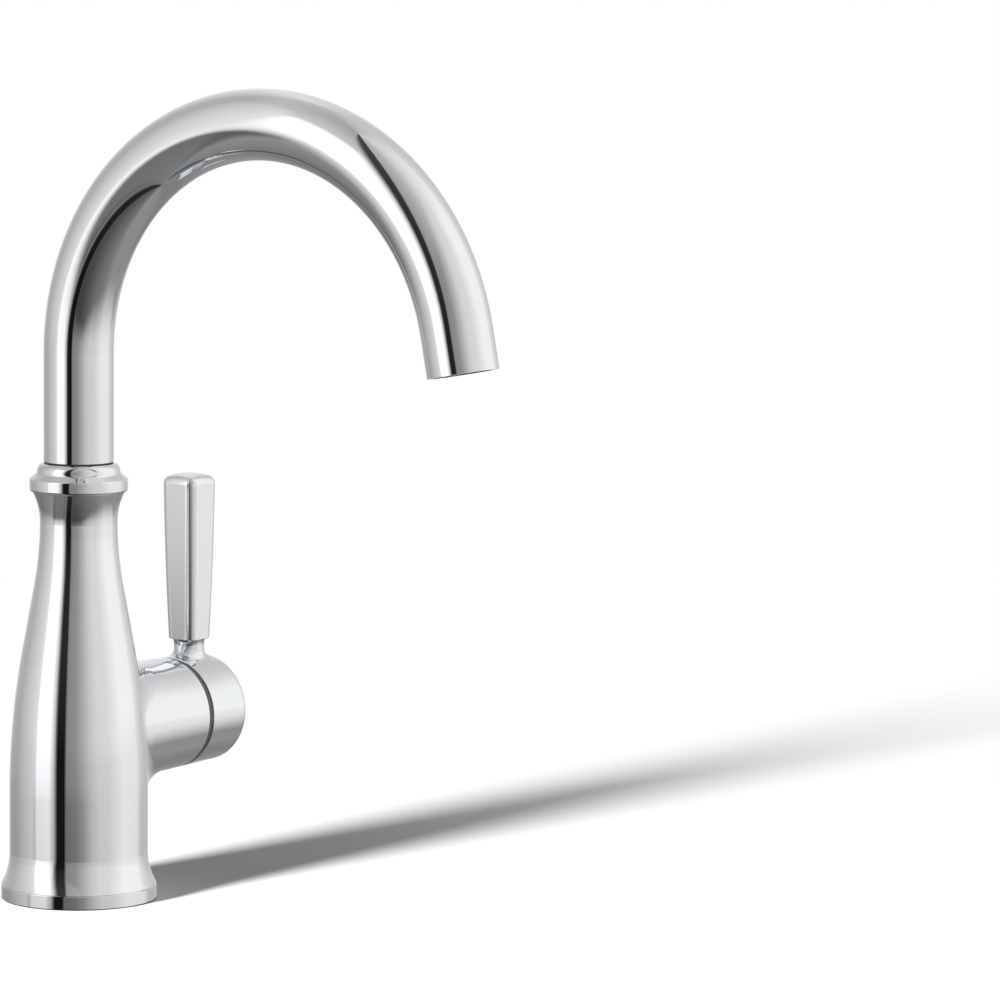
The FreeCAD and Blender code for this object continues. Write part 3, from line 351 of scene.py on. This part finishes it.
CHROME_PIECES = [
    "faucet_body",
    "base_ring",
    "spout_collar",
    "spout_tube",
    "handle_hub",
    "lever_bar",
    "aerator_housing",
]
BRASS_UPRIGHT = ["mounting_shank", "mounting_nut", "spout_shank"]
BRASS_ON_VALVE = ["valve_cage", "valve_stem"]
STEEL_UPRIGHT = ["deck_clamp_washer", "lever_stud", "handle_set_screw", "aerator_screen"]
RUBBER_PIECES = [
    "base_gasket",
    "deck_seal_washer",
    "valve_seal",
    "valve_o_ring",
    "stem_o_rings",
    "spout_o_rings",
    "aerator_seal",
]
ACETAL_PIECES = ["lower_bearing", "upper_bearing", "handle_insert", "spout_wear_ring"]

INLET_BRASS = turned_metal("inlet_brass", BRASS, ON_INLET, age=0.5, roughness=0.2, rings=5000.0)
UPRIGHT_BRASS = turned_metal("turned_brass", BRASS, UPRIGHT, age=0.5, roughness=0.2, rings=5000.0)

# Other turned pieces: their finish, its colours and axis, its age, least roughness and rings per metre
TURNED_PIECES = [
    (BRASS_ON_VALVE, "valve_brass", BRASS, ON_VALVE, 0.3, 0.18, 6000.0),
    (["inlet_tube"], "drawn_copper", COPPER, ON_INLET, 0.8, 0.24, 900.0),
    (STEEL_UPRIGHT, "satin_steel", STEEL, UPRIGHT, 0.4, 0.26, 5000.0),
    (["stem_clip"], "clip_steel", STEEL, ON_VALVE, 0.4, 0.26, 5000.0),
]

# Moulded pieces: their finish, its tones, the scale of its grain, its roughness and the depth of the grain
MOULDED_PIECES = [
    (RUBBER_PIECES, "black_rubber", RUBBER_BLACK, 1800.0, 0.62, 0.03 * MM),
    (ACETAL_PIECES, "black_acetal", ACETAL_BLACK, 2600.0, 0.4, 0.01 * MM),
    (["seam_ring"], "seam_acetal", SEAM_GREY, 2600.0, 0.45, 0.001 * MM),
    (["aerator_insert"], "grey_acetal", ACETAL_GREY, 2600.0, 0.42, 0.01 * MM),
]


def dress(names, material):
    for name in names:
        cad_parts[name].material_slots[0].material = material


def dress_all():
    dress(CHROME_PIECES, chrome_finish())
    dress(BRASS_UPRIGHT, UPRIGHT_BRASS)
    dress(["inlet_fitting"], INLET_BRASS)
    for names, *finish in TURNED_PIECES:
        dress(names, turned_metal(*finish))
    for names, *finish in MOULDED_PIECES:
        dress(names, moulded_finish(*finish))
    dress(["fixed_disc", "moving_disc"], ceramic_finish())


dress_all()


# Threaded pieces, in place of their plain solids


def mesh_piece(name, points, faces, material):
    mesh = bpy.data.meshes.new(name)
    mesh.from_pydata(points, [], faces)
    mesh.materials.append(material)
    piece = bpy.data.objects.new(name, mesh)
    bpy.context.scene.collection.objects.link(piece)
    return piece


def grid_faces(rows, columns, closed):
    """Faces of a grid whose columns run round a ring. A closed grid joins its last row to its first."""
    faces = []
    for row in range(rows if closed else rows - 1):
        above = (row + 1) % rows
        for column in range(columns):
            beside = (column + 1) % columns
            corners = [(row, column), (row, beside), (above, beside), (above, column)]
            faces.append([line * columns + place for line, place in corners])
    return faces


def turned_piece(name, rows, aside, material):
    """A closed ring-shaped mesh about an upright axis, from rows (height, radius at each angle)."""
    points = []
    for height, radius_at in rows:
        for step in range(AROUND):
            turn = 2 * math.pi * step / AROUND
            radius = radius_at(turn)
            across = aside + radius * math.cos(turn)
            points.append((across * MM, radius * math.sin(turn) * MM, height * MM))
    piece = mesh_piece(name, points, grid_faces(len(rows), AROUND, True), material)
    piece.data.shade_smooth()
    piece.data.set_sharp_from_angle(angle=math.radians(SHARP_ANGLE))
    return piece


def plain(radius):
    return lambda turn: radius


def thread_rows(bottom, top, radius, pitch):
    """Rows of an outside thread, turned down to its root at both ends."""
    depth = THREAD_DEPTH_IN_PITCHES * pitch
    root = radius - depth
    count = math.ceil((top - bottom) / pitch * THREAD_STEPS)
    return [
        (height, thread_at(height, root, depth, pitch, min(height - bottom, top - height)))
        for height in (bottom + (top - bottom) * step / count for step in range(count + 1))
    ]


def thread_at(height, root, depth, pitch, from_end):
    """Radius of a right-hand thread at one height, for each angle."""

    def radius_at(turn):
        phase = (height / pitch - turn / (2 * math.pi)) % 1.0
        rise = (abs(phase - 0.5) * 2 - THREAD_ROOT) / (THREAD_CREST - THREAD_ROOT)
        return root + min(depth * min(max(rise, 0.0), 1.0), from_end)

    return radius_at


def hexagon_at(flats, limit):
    """Radius of a hexagon for each angle, turned down to a limit."""

    def radius_at(turn):
        from_flat = (turn + math.pi / 6) % (math.pi / 3) - math.pi / 6
        return min(flats / 2 / math.cos(from_flat), limit)

    return radius_at


def hexagon_rows(bottom, top, flats):
    """Rows of a wrench hexagon, with its corners chamfered at both ends."""
    corner = flats / math.sqrt(3)
    chamfer = (corner - flats / 2) * math.tan(math.radians(HEX_CHAMFER))
    shares = [step / HEX_CHAMFER_STEPS for step in range(HEX_CHAMFER_STEPS + 1)]
    cut = [(chamfer * share, flats / 2 + (corner - flats / 2) * share) for share in shares]
    rows = [(bottom + rise, hexagon_at(flats, limit)) for rise, limit in cut]
    return rows + [(top - rise, hexagon_at(flats, limit)) for rise, limit in reversed(cut)]


def stand_for(piece, node):
    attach(piece, "body")
    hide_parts(node)
    return piece


def make_mounting_shank():
    """Brass shank with its round head and a rolled thread."""
    low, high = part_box("mounting_shank")
    bottom, top = low[2] / MM, high[2] / MM
    head_radius = high[0] / MM
    head_bottom = top - SHANK_HEAD_HEIGHT
    rows = thread_rows(bottom, head_bottom, SHANK_RADIUS, SHANK_PITCH)
    rows += [(head_bottom, plain(head_radius)), (top, plain(head_radius))]
    rows += [(top, plain(SHANK_BORE_RADIUS)), (bottom, plain(SHANK_BORE_RADIUS))]
    shank = turned_piece("threaded_shank", rows, 0.0, UPRIGHT_BRASS)
    return stand_for(shank, "mounting_shank")


def make_inlet_fitting():
    """Brass fitting with a wrench hexagon above and the supply thread below."""
    low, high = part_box("inlet_fitting")
    bottom, top = low[2] / MM, high[2] / MM
    hex_bottom = top - INLET_HEX_HEIGHT
    socket_bottom = top - INLET_SOCKET_DEPTH
    rows = thread_rows(bottom, hex_bottom, INLET_THREAD_RADIUS, INLET_PITCH)
    rows += hexagon_rows(hex_bottom, top, INLET_HEX_FLATS)
    rows += [(top, plain(INLET_SOCKET_RADIUS)), (socket_bottom, plain(INLET_SOCKET_RADIUS))]
    rows += [(socket_bottom, plain(INLET_WAY_RADIUS)), (bottom, plain(INLET_WAY_RADIUS))]
    fitting = turned_piece("threaded_inlet_fitting", rows, INLET_ASIDE, INLET_BRASS)
    return stand_for(fitting, "inlet_fitting")


threaded_pieces = [make_mounting_shank(), make_inlet_fitting()]


# Camera


def direction(azimuth, height):
    """A unit vector from its azimuth and its height over the horizon, in degrees."""
    turn, rise = math.radians(azimuth), math.radians(height)
    return Vector((math.cos(turn) * math.cos(rise), math.sin(turn) * math.cos(rise), math.sin(rise)))


def make_camera():
    """The photograph's camera, set so that the upright axis and the spout's radius meet their pixels."""
    turn, roll = math.radians(CAMERA_TURN), math.radians(CAMERA_ROLL)
    level_right = Vector((math.cos(turn), math.sin(turn), 0.0))
    forward = direction(CAMERA_TURN + 90, -CAMERA_PITCH)
    level_up = level_right.cross(forward)
    right = math.cos(roll) * level_right + math.sin(roll) * level_up
    up = math.cos(roll) * level_up - math.sin(roll) * level_right
    mm_per_pixel = SPOUT_RADIUS / SPOUT_RADIUS_PIXELS
    axis_point = Vector((0.0, 0.0, AXIS_HEIGHT_AT_MIDDLE_ROW))
    aside = AXIS_PIXEL_COLUMN - PHOTO_SIDE / 2
    spot = (axis_point - mm_per_pixel * (LENS_IN_PIXELS * forward + aside * right)) * MM
    data = bpy.data.cameras.new("photo_camera")
    data.sensor_width = SENSOR_WIDTH
    data.lens = LENS_IN_PIXELS / PHOTO_SIDE * SENSOR_WIDTH
    data.clip_end = FLOOR_SIDE
    camera = bpy.data.objects.new("photo_camera", data)
    axes = Matrix((right, up, -forward)).transposed().to_4x4()
    camera.matrix_world = Matrix.Translation(spot) @ axes
    bpy.context.scene.collection.objects.link(camera)
    bpy.context.scene.camera = camera
    return camera


# Studio


def dome_finish():
    """Light of the studio, as bright at each point as its mesh says."""
    material = bpy.data.materials.new("studio_light")
    material.use_nodes = True
    tree = material.node_tree
    tree.nodes.clear()
    end = add_node(tree, "ShaderNodeOutputMaterial")
    level = add_node(tree, "ShaderNodeAttribute", attribute_name="level")
    light = add_node(tree, "ShaderNodeEmission")
    join(tree, level.outputs["Fac"], light.inputs["Strength"])
    join(tree, light.outputs["Emission"], end.inputs["Surface"])
    material.cycles.emission_sampling = "NONE"
    return material


# Level of the studio walls round the horizon. Azimuths are from the camera, left ones below 0.
# The softbox is at -74.5 to -51, and a black flag at -36.5 to -24. The right wall is a large white panel.
WALL_LEVELS = [
    (-180, 0.88),
    (-165, 0.72),
    (-146, 0.52),
    (-126, 0.5),
    (-86, 0.8),
    (-78, 0.92),
    (-74.5, 1.35),
    (-51, 1.35),
    (-46, 0.95),
    (-42, 0.62),
    (-39, 0.18),
    (-36.5, 0.009),
    (-24, 0.009),
    (-20.5, 0.28),
    (-5, 0.33),
    (8, 0.5),
    (22, 0.7),
    (34, 0.81),
    (50, 0.83),
    (80, 1.08),
    (112, 1.06),
    (124, 0.84),
    (142, 0.68),
    (157, 0.65),
    (180, 0.88),
]

# How the walls go on upwards and downwards: azimuth, height of the wall's top, level over it, level
# overhead, height where the fade under the wall ends, share of the wall's level there, level underfoot
WALL_ENDS = [
    (-180, 58, 0.6, 0.42, -22, 0.4, 0.26),
    (-150, 58, 0.6, 0.42, -15, 0.4, 0.26),
    (-86, 58, 0.6, 0.44, -22, 0.4, 0.27),
    (-80, 47, 0.72, 0.42, -16.5, 0.14, 0.25),
    (-44, 47, 0.66, 0.4, -19, 0.14, 0.22),
    (-36.5, 2, 0.02, 0.075, -20, 1.0, 0.03),
    (-24, 2, 0.02, 0.075, -20, 1.0, 0.03),
    (-20.5, 20, 0.33, 0.55, -15.5, 0.2, 0.13),
    (8, 45, 0.52, 0.58, -16, 0.2, 0.17),
    (40, 58, 0.75, 0.65, -31, 0.24, 0.18),
    (80, 50, 0.98, 0.7, -40, 0.29, 0.32),
    (112, 50, 0.98, 0.7, -32, 0.28, 0.32),
    (128, 54, 0.85, 0.64, -15, 0.42, 0.28),
    (145, 58, 0.68, 0.56, -24, 0.38, 0.24),
    (180, 58, 0.6, 0.42, -22, 0.4, 0.26),
]


def between(start, end, share):
    return start + (end - start) * share


def at_azimuth(stations, azimuth):
    """Values at an azimuth, between the two stations that it lies between."""
    for (left, *left_values), (right, *right_values) in zip(stations, stations[1:]):
        if azimuth <= right:
            share = (azimuth - left) / (right - left)
            return [between(start, end, share) for start, end in zip(left_values, right_values)]


def smooth(share):
    """A share from 0 to 1, eased at both ends."""
    return share * share * (3 - 2 * share)


def under_wall(height, fade_end, share):
    """Share of a wall's light that is left under it, steady at the height that upright metal mirrors."""
    held = between(share, 1.0, UPRIGHT_SHARE)
    if height > UPRIGHT_MIRROR:
        return between(1.0, held, smooth(height / UPRIGHT_MIRROR))
    return between(share, held, smooth((height - fade_end) / (UPRIGHT_MIRROR - fade_end)))


def studio_level(azimuth, height):
    """How bright the studio is in one direction, seen from the object."""
    (wall,) = at_azimuth(WALL_LEVELS, azimuth)
    top, over, ceiling, fade_end, share, underfoot = at_azimuth(WALL_ENDS, azimuth)
    soft_top = top + WALL_TOP_SOFTNESS
    soft_foot = top - WALL_TOP_SOFTNESS
    if height > soft_top:
        return between(over, ceiling, (height - soft_top) / (ZENITH - soft_top))
    if height > soft_foot:
        return between(wall, over, (height - soft_foot) / (soft_top - soft_foot))
    if height > 0:
        return wall
    if height > fade_end:
        return wall * under_wall(height, fade_end, share)
    return between(underfoot, wall * share, (height - NADIR) / (fade_end - NADIR))


def make_dome(camera):
    """The studio round the object. It shows in the metal, and neither to the camera nor on the floor."""
    camera_azimuth = math.degrees(math.atan2(camera.location.y, camera.location.x))
    points = []
    levels = []
    for row in range(DOME_ROWS + 1):
        height = between(NADIR, ZENITH, row / DOME_ROWS)
        for column in range(DOME_COLUMNS):
            azimuth = between(-180, 180, column / DOME_COLUMNS)
            points.append(DOME_RADIUS * direction(camera_azimuth + azimuth, height))
            levels.append(studio_level(azimuth, height))
    faces = grid_faces(DOME_ROWS + 1, DOME_COLUMNS, False)
    dome = mesh_piece("studio_dome", points, faces, dome_finish())
    level = dome.data.attributes.new("level", "FLOAT", "POINT")
    level.data.foreach_set("value", levels)
    dome.visible_camera = False
    dome.visible_diffuse = False
    dome.visible_shadow = False


def floor_finish():
    """Pale floor that keeps the shadow near the object and runs out into the white background."""
    material, tree, shader = new_finish("pale_floor", Base_Color=FLOOR_COLOUR, Roughness=1.0)
    set_inputs(shader, Specular_IOR_Level=0.0)
    place = add_node(tree, "ShaderNodeTexCoord")
    reach = add_node(tree, "ShaderNodeVectorMath", operation="LENGTH")
    rays = add_node(tree, "ShaderNodeLightPath")
    white = set_inputs(add_node(tree, "ShaderNodeEmission"), Color=WHITE, Strength=1.0)
    mixed = add_node(tree, "ShaderNodeMixShader")
    join(tree, place.outputs["Object"], reach.inputs[0])
    fade = spread_node(tree, reach.outputs["Value"], FLOOR_FADE, WHOLE, interpolation_type="SMOOTHSTEP")
    seen = math_node(tree, "MULTIPLY", fade, rays.outputs["Is Camera Ray"])
    join(tree, seen, mixed.inputs["Fac"])
    join(tree, shader.outputs["BSDF"], mixed.inputs[1])
    join(tree, white.outputs["Emission"], mixed.inputs[2])
    join(tree, mixed.outputs["Shader"], tree.nodes["Material Output"].inputs["Surface"])
    material.cycles.emission_sampling = "NONE"
    return material


def make_floor():
    reach = FLOOR_SIDE / 2
    corners = [(-reach, -reach), (reach, -reach), (reach, reach), (-reach, reach)]
    points = [(x, y, FLOOR_OVER_DECK_FACE) for x, y in corners]
    floor = mesh_piece("floor", points, [(0, 1, 2, 3)], floor_finish())
    floor.visible_glossy = False
    return floor


def make_world():
    """White behind everything that the camera, metal and glass see, and a low even light on the rest."""
    world = bpy.data.worlds.new("studio_air")
    bpy.context.scene.world = world
    world.use_nodes = True
    tree = world.node_tree
    background = set_inputs(tree.nodes["Background"], Color=WHITE)
    rays = add_node(tree, "ShaderNodeLightPath")
    glossy, through = rays.outputs["Is Glossy Ray"], rays.outputs["Is Transmission Ray"]
    mirrored = math_node(tree, "MAXIMUM", glossy, through)
    seen = math_node(tree, "MAXIMUM", rays.outputs["Is Camera Ray"], mirrored)
    join(tree, spread_node(tree, seen, WHOLE, (ROOM_LIGHT, 1.0)), background.inputs["Strength"])


def make_sun(name, azimuth, height, spread, strength, lit):
    """A soft lamp far away, which lights only the pieces in one collection."""
    data = bpy.data.lights.new(name, "SUN")
    data.energy = strength
    data.angle = math.radians(spread)
    lamp = bpy.data.objects.new(name, data)
    lamp.rotation_euler = direction(azimuth, height).to_track_quat("Z", "Y").to_euler()
    lamp.visible_glossy = False
    bpy.context.scene.collection.objects.link(lamp)
    lamp.light_linking.receiver_collection = lit


def new_lit_group(name, pieces):
    group = bpy.data.collections.new(name)
    for piece in pieces:
        group.objects.link(piece)
    return group


def make_lamps(floor):
    lit_floor = new_lit_group("lit_floor", [floor])
    lit_pieces = new_lit_group("lit_pieces", list(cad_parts.values()) + threaded_pieces)
    on_floor = FLOOR_LIGHT * math.pi / math.sin(math.radians(SHADOW_LAMP[1]))
    make_sun("shadow_lamp", *SHADOW_LAMP, on_floor, lit_floor)
    make_sun("key_lamp", *KEY_LAMP, lit_pieces)
    make_sun("fill_lamp", *FILL_LAMP, lit_pieces)


def make_studio():
    make_dome(make_camera())
    make_world()
    make_lamps(make_floor())
    bpy.context.scene.view_settings.view_transform = "Standard"


make_studio()
